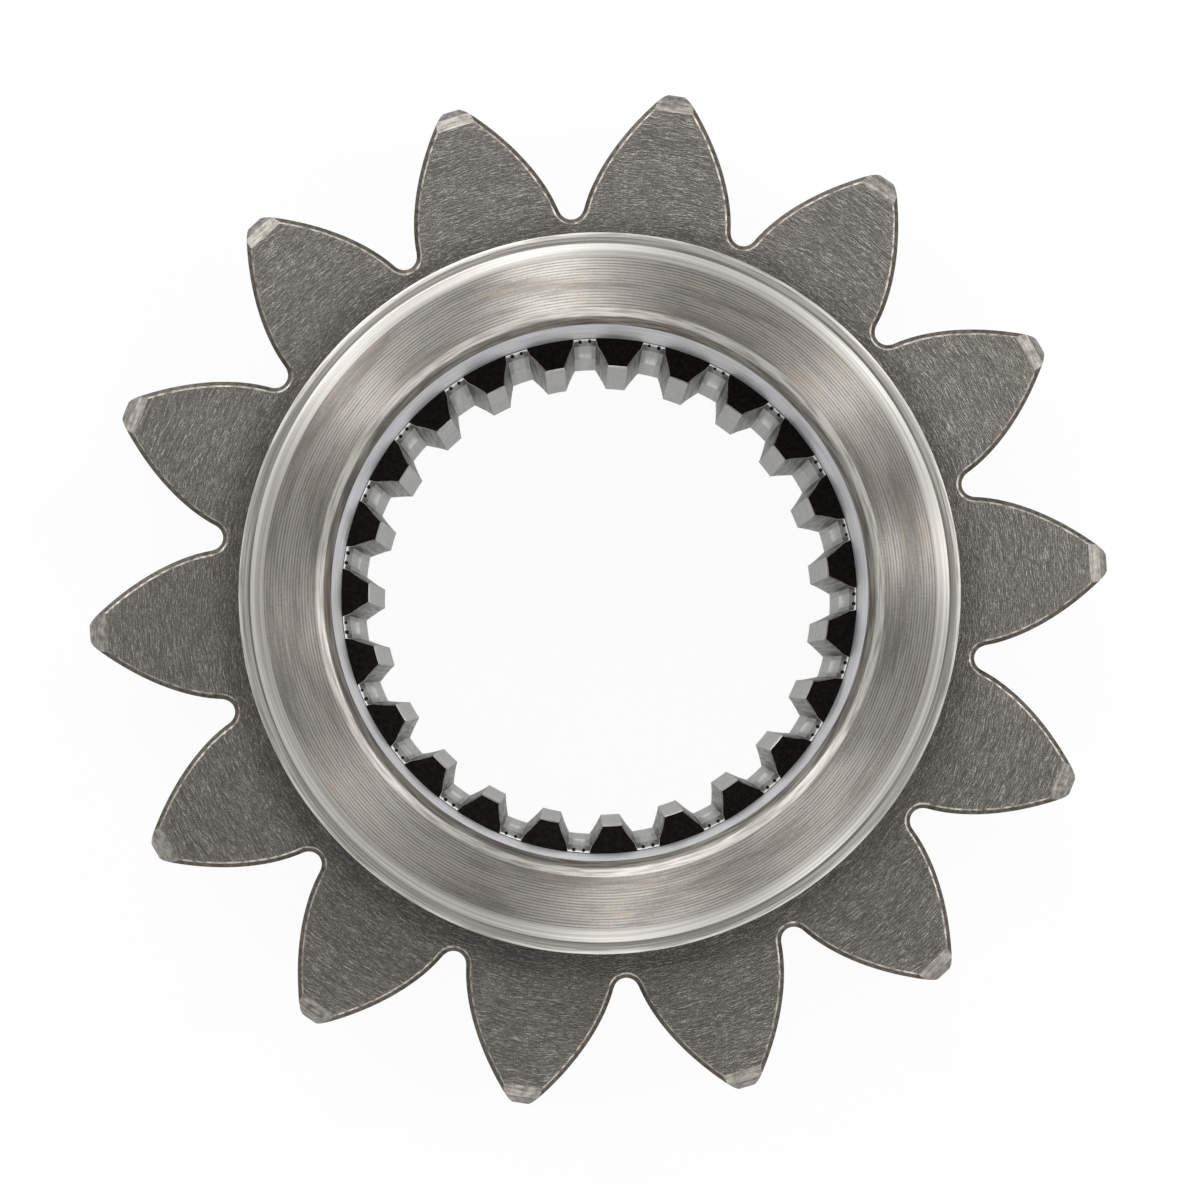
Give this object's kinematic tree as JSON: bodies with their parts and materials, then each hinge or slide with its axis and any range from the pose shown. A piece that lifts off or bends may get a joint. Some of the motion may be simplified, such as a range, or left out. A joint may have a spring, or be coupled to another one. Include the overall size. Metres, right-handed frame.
{
  "type": "pinion gear",
  "caption": "Straight-toothed steel pinion with a raised turned hub, a counterbore and an internally splined through bore.",
  "frame": {"origin": "centre of the back face, on the gear axis", "axes": "+Z along the gear axis, out of the hub end; one tooth points 4 degrees from +X"},
  "size_m": [0.0796, 0.079, 0.0365],
  "materials": {
    "machined_steel": "turned and ground, satin"
  },
  "bodies": {
    "root": {"pinion_gear": "machined_steel"}
  },
  "joints": []
}
